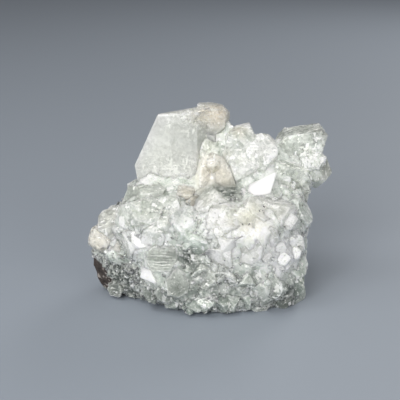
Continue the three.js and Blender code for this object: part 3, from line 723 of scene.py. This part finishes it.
# The round crystals face away from the main light: their pale finish and added lightness are partly their own
# white and partly painted light.
rimmed = crystal_finish("rimmed_apophyllite", 0.9, (0.95, 1.0, 0.90, 1), (0.83, 0.95, 0.79, 1), depth=0.001)
grown("right_round_crystals", rimmed, "clear_crystal", dull=0.0, wear=3, tint=(0.5,), flaw=(1.0,))
grown("right_edge_crystals", greenish, "green_crystal", milk=(0.1,), flaw=(0.3,))


# ---- The lower crust ----
# Apophyllite crystals crowded down to the table all round the front, clear to pale green. They grew
# into each other, so their faces are short and very rough.
grown(
    "lower_left_crystals", clear, "green_crystal", plates=(4.0, 0.03), milk=(0.1,), tint=(-0.2,), flaw=(0.3,)
)
for node, finish, slot in (
    ("lower_centre_crystals", clear, "clear_crystal"),
    ("lower_right_crystals", milky, "milky_crystal"),
    ("front_foot_crystals", greenish, "green_crystal"),
    ("right_foot_crystals", greenish, "green_crystal"),
    ("right_column_crystals", greenish, "green_crystal"),
    ("right_side_crystals", milky, "milky_crystal"),
):
    grown(node, finish, slot, plates=(2.0, 0.08), milk=(0.1,), flaw=(0.5,))


# ---- The back ----
# The same crystals grew on round the back of the rock, larger and plainer. They are milky above, clear
# and greenish in the middle, and frosted near the foot.
for node, finish, slot in (
    ("back_large_crystals", milky, "milky_crystal"),
    ("back_right_crystals", milky, "milky_crystal"),
    ("back_middle_crystals", clear, "clear_crystal"),
    ("back_low_right_crystals", clear, "clear_crystal"),
    ("back_left_crystals", frosted, "frosted_crystal"),
    ("back_foot_crystals", frosted, "frosted_crystal"),
    ("back_centre_crystals", greenish, "green_crystal"),
):
    grown(node, finish, slot, longest=0.55, plates=(2.4, 0.06), flaw=(0.4,))


# ---- The crystal between the crystals ----
# The large crystals did not only touch: milky apophyllite filled the corners between them, so that
# all of them stand half sunk in one body. It rounds every corner to the same radius.
GRID = 0.5 * MM
FILL = 10  # that radius: this and the next two are in steps of the grid
INTO_CRYSTALS = 0.9  # how far the body goes in under the crystals' faces
CORE = 2.6  # how far under the rounded surface all is body
origin = np.array(cad_box[0]) - 6.03 * MM
cells_across = np.ceil((np.array(cad_box[1]) + 6 * MM - origin) / GRID).astype(int)


def filled(nodes):
    """Which points of a grid lie in any of the nodes: along each upright line of the grid, one more for
    each triangle that faces down and one less for each that faces up."""
    count = np.zeros(cells_across, dtype=np.int32)
    for node in nodes:
        corners, faces = welded(node)
        for a, b, c in (corners[faces] - origin) / GRID:
            first = np.maximum(np.ceil(np.minimum(np.minimum(a, b), c)[:2]).astype(int), 0)
            last = np.floor(np.maximum(np.maximum(a, b), c)[:2]).astype(int)
            area = (b[0] - a[0]) * (c[1] - a[1]) - (b[1] - a[1]) * (c[0] - a[0])
            if np.any(last < first) or abs(area) < 1e-9:
                continue
            x, y = np.mgrid[first[0] : last[0] + 1, first[1] : last[1] + 1]
            u = ((x - a[0]) * (c[1] - a[1]) - (y - a[1]) * (c[0] - a[0])) / area
            v = ((b[0] - a[0]) * (y - a[1]) - (b[1] - a[1]) * (x - a[0])) / area
            under = (u >= 0) & (v >= 0) & (u + v <= 1)
            level = np.ceil(a[2] + u * (b[2] - a[2]) + v * (c[2] - a[2])).astype(int)
            np.add.at(count, (x[under], y[under], np.maximum(level[under], 0)), -1 if area > 0 else 1)
    return np.cumsum(count, axis=2) != 0


def distance(solid):
    """From each grid point to the nearest one of solid, in steps, right up to FILL + 3 steps."""
    reach = FILL + 3
    far = np.where(solid, 0, 4 * reach * reach).astype(np.int32)
    for axis in range(3):
        padded = np.pad(far, [(reach, reach) if k == axis else (0, 0) for k in range(3)], mode="edge")
        shifts = range(-reach, reach + 1)
        near = (
            np.take(padded, range(reach + k, reach + k + far.shape[axis]), axis=axis) + k * k for k in shifts
        )
        far = np.minimum.reduce(list(near))
    return np.sqrt(far)


def softened(field, passes):
    """Each pass makes a grid point the mean of itself, twice, and its two neighbours, axis by axis."""
    for axis in [0, 1, 2] * passes:
        padded = np.pad(field, [(1, 1) if k == axis else (0, 0) for k in range(3)], mode="edge")
        low, middle, high = (np.take(padded, range(k, k + field.shape[axis]), axis=axis) for k in range(3))
        field = 0.25 * low + 0.5 * middle + 0.25 * high
    return field


def sampled(field, points):
    """The field's value at each point, straight between the eight grid points round it."""
    place = np.clip((points - origin) / GRID, 0, np.array(field.shape) - 1.001)
    home = place.astype(int)
    share = place - home
    total = np.zeros(len(points))
    for corner in itertools.product((0, 1), repeat=3):
        weight = np.prod(np.where(corner, share, 1 - share), axis=1)
        total += weight * field[tuple((home + np.array(corner)).T)]
    return total


def surface_of(field):
    """The surface between positive and negative grid points: each cell that it passes through holds
    one point, the mean of its crossings with the cell's edges, and the four cells round a crossed
    edge make two triangles."""
    total = np.zeros(field.shape + (3,))
    count = np.zeros(field.shape)
    quads = []
    full = field > 0
    for axis in range(3):
        one, two = np.eye(3, dtype=int)[[(axis + 1) % 3, (axis + 2) % 3]]
        step = np.eye(3, dtype=int)[axis]
        before = tuple(slice(None, -1) if k == axis else slice(1, None) for k in range(3))
        low = np.argwhere(full[before] != full[1:, 1:, 1:]) + one + two
        first, second = field[tuple(low.T)], field[tuple((low + step).T)]
        crossing = low + step * (first / (first - second))[:, None]
        cells = [low, low - one, low - one - two, low - two]
        for cell in cells:
            np.add.at(total, tuple(cell.T), crossing)
            np.add.at(count, tuple(cell.T), 1)
        names = np.stack([np.ravel_multi_index(cell.T, field.shape) for cell in cells], axis=1)
        names[first < 0] = names[first < 0][:, ::-1]
        quads.append(names)
    quads = np.concatenate(quads)
    used, corners = np.unique(quads, return_inverse=True)
    corners = corners.reshape(-1, 4)
    points = total.reshape(-1, 3)[used] / count.reshape(-1)[used, None] * GRID + origin
    return points, np.concatenate([corners[:, [0, 1, 2]], corners[:, [0, 2, 3]]])


crystals = filled([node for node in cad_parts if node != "matrix"])
swollen = distance(crystals | filled(["matrix"])) <= FILL
closed = distance(~swollen) - FILL
inner = distance(~crystals)
height_here = (origin[2] + GRID * np.arange(cells_across[2])) / MM
# At these heights the body stays SUNK steps under the rounded surface. Near each of the places of
# COVER (place, reach, steps) it stands that much higher, over the crystals' faces, or lower.
SUNK_HEIGHTS, SUNK = (10, 26, 36, 50), (-0.1, 0.1, 1.5, 5)
between = closed - np.interp(height_here, SUNK_HEIGHTS, SUNK)
here = np.moveaxis(np.indices(cells_across), 0, -1).reshape(-1, 3) * GRID + origin
COVER = (
    ((12, -19, 28), 10, 1.0), ((0, -4, 38), 7, 1.6), ((-18, -3.5, 36), 6, 3), ((-10, -5, 35), 6, 3),
    ((1, 1, 49), 7, 6), ((-1, 0, 53), 4, 3), ((-36, -2, 6), 10, -7), ((-32, -4, 3), 8, -6),
    ((-29.5, -10, 16), 5, 4), ((-18.3, -20, 12.8), 4, -4), ((-9.8, -22, 11.5), 4, -2),
)
cover = sum(number * around(here, place, reach) for place, reach, number in COVER)
cover = np.minimum(cover, 4).reshape(closed.shape)
filling = np.minimum(between + cover, INTO_CRYSTALS - inner + 3 * np.maximum(cover, 0))
filling = softened(np.maximum(filling, closed - CORE), 1)
body, body_faces = surface_of(filling)
body = worn(body, body_faces, 2)
body[:, 2] = np.maximum(body[:, 2], 0)
body_normals = outward(body, body_faces)
blocks = np.maximum(crust(body, body_normals, 2.6 * MM, 33), crust(body, body_normals, 1.2 * MM, 31))
rise = 0.3 * blocks + 0.06 * MM * clouds(body, 1.0 * MM, 32)
rise *= 1 - 0.8 * around(body, (0, -5, 38), 9) - 0.6 * around(body, (12, -19, 28), 9)
body_skin = raised(body, body_normals, rise)

# The bright rims are painted highlights.
RIM = 1.6  # how far the bright rims reach, in steps of the grid
# The body's marks by place. The hollow by the left end and the column under the big crystal's shoulder are
# painted darker as shade. The spot on the cream crystals is a painted highlight. Round the round crystals the
# body is painted lighter: painted light.
BODY_MARKS = {
    "flaw": (((-18, -3.5, 36), 7, 0.6), ((-10, -5, 35), 7, 0.6)),
    "edge": (((-20, -3, 36.5), 6, 0.4), ((0.5, -4.5, 43.6), 2.3, 0.6)),
    "dark": (((-27.3, -12.4, 28.8), 2.2, 0.9), ((2, -2, 50), 8, 0.3), ((-12, -6, 35), 8, 0.25)),
    "warm": (
        ((-3, -2, 46), 6, 0.3), ((0, -4, 40), 9, 1.0), ((0, 1, 50), 6, 0.3), ((-4, -9, 35), 5, 0.6),
        ((-33, -9, 20), 5, 0.4), ((12, -19, 29), 9, 0.8),
    ),
    "milk": (
        ((-20, -3, 36.5), 6, 0.3), ((10, -19, 27), 14, 0.35), ((22, -16, 18), 9, 0.3),
        ((0, -4, 40), 9, 0.3), ((-22, -15, 24), 8, 0.2),
    ),
    "tint": (
        ((-20, -3, 36.5), 6, 0.6), ((2, -2, 50), 8, -0.5), ((-12, -6, 35), 8, -0.5),
        ((20, -17, 20), 9, 0.3), ((10, -19, 27), 14, 0.3), ((22, -16, 18), 9, 0.4), ((-22, -15, 24), 8, 0.2),
    ),
}
stored = {key: np.zeros(len(body)) for key in MARKS}
stored["flaw"] += 0.35 * (1 - around(body, (1, -4, 41), 10))
# Lighter on the body's raised blocks and in rims next to the crystals: painted highlight.
stored["edge"] = np.clip(rise / (0.25 * MM) - 0.3, 0, 0.5)
near_crystals = np.exp(-(((sampled(distance(crystals), body) - 0.5) / RIM) ** 2))
stored["edge"] += 0.35 * near_crystals * (0.6 + 0.6 * clouds(body, 2.2 * MM, 41))
for key, places in BODY_MARKS.items():
    for place, reach, number in places:
        stored[key] += number * around(body, place, reach)
# Darker towards the table and in the crust's darker patches: partly grey, partly painted shade.
stored["tint"] -= 0.5 * grey_and_shade(body)
stored["dark"] += 0.7 * grey_and_shade(body)
# Lighter round the round crystals and on the front of the mass: painted light.
stored["edge"] += around(body, (22, -16, 18), 11) + 0.3 * around(body, (10, -20, 27), 12)
stored["edge"] = np.clip(stored["edge"], 0, 1)
cloudy = crystal_finish(
    "cloudy_apophyllite", 0.85, (0.90, 0.96, 0.885, 1), (0.57, 0.64, 0.57, 1),
    warm=(0.83, 0.765, 0.65, 1), depth=0.004,
)
piece_of("grown_together", body_skin, body_faces, cloudy, stored)

# Where each crystal comes out of the body, its skin has a bright rim: painted highlight.
for piece, skin, edge in skins:
    rim = 0.4 * np.exp(-((sampled(filling, skin) / RIM) ** 2)) * (0.6 + 0.6 * clouds(skin, 2.2 * MM, 42))
    rim = np.clip(edge + rim * np.clip(1 - grey_and_shade(skin), 0.2, 1), 0, 1)
    piece.data.attributes["edge"].data.foreach_set("value", rim.astype(np.float32))


# ---- The small crystals between the large ones ----
# Thousands of apophyllite crystals half a millimetre to four millimetres across, which grew in every
# corner and over the crust. Each is a square prism with a pyramid that a flat end cuts off.
every_corner, every_face, owner = [], [], []
own_surface = {"matrix": (rock_skin, rock_faces), "between": (body_skin, body_faces)}
for node in list(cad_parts) + ["between"]:
    corners, faces = own_surface.get(node) or welded(node)
    every_face.append(faces + sum(map(len, every_corner)))
    every_corner.append(corners)
    owner += [node] * len(faces)
every_corner, every_face = np.concatenate(every_corner), np.concatenate(every_face)
owner = np.array(owner)
everything = BVHTree.FromPolygons(every_corner.tolist(), every_face.tolist())
room_low, room_high = np.array(cad_box[0]) - 0.3 * MM, np.array(cad_box[1]) + 0.3 * MM


def spots_on(shares, count, chance):
    """Places spread evenly by area over the nodes of shares, each weighed by its share, with normals."""
    a, b, c = (every_corner[every_face[:, k]] for k in range(3))
    across = np.cross(b - a, c - a)
    area = np.linalg.norm(across, axis=1)
    weight = area * np.array([shares.get(node, 0.0) for node in owner])
    pick = chance.choice(len(area), count, p=weight / weight.sum())
    u, v = chance.random((2, count, 1))
    fold = u + v > 1
    u, v = np.where(fold, 1 - u, u), np.where(fold, 1 - v, v)
    return a[pick] + u * (b - a)[pick] + v * (c - a)[pick], across[pick] / area[pick, None]


def shelter(spots, normals, reach, chance, rays=10):
    """The share of rays from each spot that meet something within reach, and the rest's mean way."""
    blocked = np.zeros(len(spots))
    free = np.zeros_like(spots)
    start = spots + normals * 0.05 * MM
    for _ in range(rays):
        way = chance.normal(size=spots.shape)
        way = way / np.linalg.norm(way, axis=1, keepdims=True) + 1.1 * normals
        way /= np.linalg.norm(way, axis=1, keepdims=True)
        met = [everything.ray_cast(s, w, reach)[0] is not None for s, w in zip(start.tolist(), way.tolist())]
        met = np.array(met) | (start[:, 2] + way[:, 2] * reach < 0)
        blocked += met / rays
        free += way * ~met[:, None]
    return blocked, free / np.maximum(np.linalg.norm(free, axis=1, keepdims=True), 1e-9)


def little_crystals(spots, axes, half, length, chance):
    """Crystals as arrays: three rings of four corners on each axis, for root, shoulder and flat end."""
    count = len(spots)
    side = np.cross(axes, chance.normal(size=(count, 3)))
    side /= np.linalg.norm(side, axis=1, keepdims=True)
    other = np.cross(axes, side)
    stretch = chance.uniform(0.7, 1.3, count)
    tip = chance.uniform(0.1, 0.8, count)
    steep = chance.uniform(0.8, 1.7, count)
    slope = chance.normal(0, 0.2, (2, count))
    rings = (
        (0.8 * np.ones(count), -0.35 * length, 0.0),
        (np.ones(count), length - steep * (1 - tip) * half, 0.5),
        (tip, length, 1.0),
    )
    corners = []
    for spread, rise, tilted in rings:
        for x, y in ((1, 1), (-1, 1), (-1, -1), (1, -1)):
            across = half * stretch * spread * x
            along = half / stretch * spread * y
            up = rise + tilted * (slope[0] * across + slope[1] * along)
            corners.append(spots + side * across[:, None] + other * along[:, None] + axes * up[:, None])
    faces = [(0, 2, 1), (0, 3, 2), (8, 9, 10), (8, 10, 11)]
    for a in range(8):
        b = a // 4 * 4 + (a + 1) % 4
        faces += [(a, b, b + 4), (a, b + 4, a + 4)]
    triangles = np.array(faces)[None] + 12 * np.arange(count)[:, None, None]
    return np.stack(corners, axis=1).reshape(-1, 3), triangles.reshape(-1, 3)


# Faces that stay free of little crystals: (place, reach).
OPEN = (
    ((-37, -3, 6), 6), ((-33, -6, 3), 4.5), ((-18.4, -19, 12.7), 4.5), ((-14.4, -20.3, 19), 4.5),
    ((-33, -9, 20), 5), ((-31, -9, 25), 5), ((14, -6, 36), 6), ((8, -20, 28), 8), ((14, -18, 30), 7),
    ((-9.8, -21.9, 11.4), 4), ((22, -15, 18), 5), ((16, -19, 20), 3), ((-25, -6, 35), 4), ((0, -5, 40), 5),
)
SHELTER = 4 * MM
HIDDEN = 0.85
LOWEST = 0.6 * MM


def sprinkled(
    name, finish, shares, count, sizes, corner, seed,
    sunk=0.6, lean=0.5, milk=(-0.4, 0.4), long=(0.9, 1.9), top=36, apart=(),
):
    """A crowd of little crystals on the nodes of shares, more of them in corners, none on open faces.

    sizes are the middle half width and its spread in millimetres, corner is (least shelter, chance
    elsewhere), sunk is how far the roots go in, lean is how much they lean at random, milk is the range
    of how milky they are, long is the range of length to half width, top is the height above which
    there are none, and apart are more places (place, reach) with none."""
    chance = np.random.default_rng(seed)
    spots, normals = spots_on(shares, count, chance)
    buried = (sampled(inner, spots) >= 0.8) & (set(shares) == {"between"})
    spots, normals = spots[~buried], normals[~buried]
    count = len(spots)
    blocked, free = shelter(spots, normals, SHELTER, chance)
    odds = np.where(blocked > corner[0], 1.0, corner[1])
    odds = odds * np.clip((top * MM - spots[:, 2]) / (4 * MM), 0, 1)
    for place, reach in OPEN + apart:
        odds *= np.linalg.norm(spots - np.array(place) * MM, axis=1) > reach * MM
    chosen = (blocked < HIDDEN) & (spots[:, 2] > LOWEST) & (chance.random(count) < odds)
    spots, normals, blocked, free = (part[chosen] for part in (spots, normals, blocked, free))
    axes = normals * (1 - blocked)[:, None] + free * (0.4 + blocked)[:, None]
    axes = axes + lean * chance.normal(size=free.shape)
    axes /= np.linalg.norm(axes, axis=1, keepdims=True)
    half = sizes[0] * MM * np.exp(sizes[1] * chance.normal(size=len(spots)))
    length = half * chance.uniform(*long, len(spots))
    spots = spots + ((0.8 * blocked - sunk) * half)[:, None] * axes
    end = spots + axes * length[:, None]
    inside = np.all((end - half[:, None] > room_low) & (end + half[:, None] < room_high), axis=1)
    spots, axes, half, length = (part[inside] for part in (spots, axes, half, length))
    points, triangles = little_crystals(spots, axes, half, length, chance)
    points[:, 2] = np.maximum(points[:, 2], LIFT)
    stored = {key: np.zeros(len(points)) for key in ("edge", "warm", "dark")}
    for key, span in (("milk", milk), ("tint", (-0.3, 0.3)), ("flaw", (0.2, 0.9))):
        stored[key] = np.repeat(chance.uniform(*span, len(spots)), 12)
    # Darker towards the table and in the crust's darker patches: partly grey, partly painted shade.
    stored["dark"] += 0.7 * grey_and_shade(points)
    stored["tint"] -= 0.4 * grey_and_shade(points)
    piece_of(name, points, triangles, finish, stored)


CRYSTALS = [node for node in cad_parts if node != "matrix"]
LOW = ("lower", "front_foot", "right_foot", "right_column", "right_side")
body_and_foot = {"between": 1.0}
body_and_foot |= {node: 1.0 for node in CRYSTALS if node.startswith(LOW)}
body_and_foot |= {node: 0.6 for node in CRYSTALS if node.startswith("back")}
sprinkled(
    "rock_druse", clear, {"matrix": 1.0}, 16000,
    sizes=(0.32, 0.35), corner=(0.0, 0.9), seed=1, milk=(-0.3, 0.4),
)
sprinkled(
    "body_druse", clear, {"between": 1.0}, 16000,
    sizes=(0.28, 0.4), corner=(0.35, 0.2), seed=3, milk=(-0.2, 0.4),
)
sprinkled(
    "crust_crystals", greenish, body_and_foot, 1400,
    sizes=(1.0, 0.4), corner=(0.25, 0.3), seed=4, sunk=0.8, lean=0.3, milk=(-0.1, 0.25), long=(0.8, 1.3),
    apart=tuple((place, reach) for place, reach, _ in GREY_AND_SHADE_PATCHES) + (((35, -6, 10), 9), ((35, -4, 22), 8)),
)
sprinkled(
    "corner_druse", milky, {node: 1.0 for node in CRYSTALS}, 9000,
    sizes=(0.26, 0.4), corner=(0.4, 0.03), seed=5,
)


# ---- The black grains ----
# A few dark specks of basalt, a fifth to half a millimetre across, which are caught on the yellow
# mass, the blade and the ridge.
grit = Finish("black_grains")
grit_surface = grit.node("BsdfPrincipled", 0, {}, {"Base Color": (0.03, 0.03, 0.028, 1), "Roughness": 0.6})
grit_finish = grit.close(grit_surface)
GRIT_ON = {"front_right_mass": 1.0, "bright_tabular_crystal": 0.5, "ridge_crystals": 0.3}
GRIT_CHANCE = 0.35
GRIT_AT = ((14.4, -16.4, 32.7), (12.5, -20, 29.5), (10, -7, 34.5))
chance = np.random.default_rng(9)
grains, grain_ways = spots_on(GRIT_ON, 1500, chance)
closeness = np.max([around(grains, place, 4) for place in GRIT_AT], axis=0)
kept = chance.random(len(grains)) < GRIT_CHANCE * closeness
grains, grain_ways = grains[kept], grain_ways[kept]
grain_size = chance.uniform(0.10, 0.24, len(grains)) * MM
points, triangles = little_crystals(grains, grain_ways, grain_size, 1.3 * grain_size, chance)
piece_of("black_grains", points, triangles, grit_finish, {})


# ---- The table and the light ----
# A plain, pale grey-blue table top. One large soft light stands in front to the left, weaker ones fill
# the shadows from above and from both sides, and one behind catches the edges of the clear crystals.
bpy.ops.mesh.primitive_plane_add(size=6, location=(0, 0, 0))
table = bpy.context.object
table.name = "table"
top = Finish("table_top")
table.data.materials.append(
    top.close(top.node("BsdfPrincipled", 0, {}, {"Base Color": (0.318, 0.357, 0.412, 1), "Roughness": 0.6}))
)

world = bpy.data.worlds.new("room")
world.use_nodes = True
world.node_tree.nodes["Background"].inputs["Color"].default_value = (0.85, 0.86, 0.88, 1)
world.node_tree.nodes["Background"].inputs["Strength"].default_value = 0.24
scene.world = world
for name, place, size, power in (
    ("key", (-0.28, -0.73, 0.45), 0.36, 4.25),
    ("overhead", (-0.26, -0.22, 0.66), 0.35, 1.5),
    ("fill", (0.45, -0.60, 0.24), 0.40, 1.3),
    ("low_left", (-0.60, -0.20, 0.16), 0.20, 0.5),
    ("front", (-0.10, -0.70, 0.35), 0.15, 0.4),
    ("back", (0.35, 0.55, 0.40), 0.30, 1.2),
):
    light = bpy.data.lights.new(name, "AREA")
    light.shape = "SQUARE"
    light.size = size
    light.energy = power
    light.color = (1.0, 0.985, 0.96)
    holder = bpy.data.objects.new(name, light)
    holder.location = place
    holder.rotation_euler = (Vector((0, 0, 0.03)) - Vector(place)).to_track_quat("-Z", "Y").to_euler()
    scene.collection.objects.link(holder)
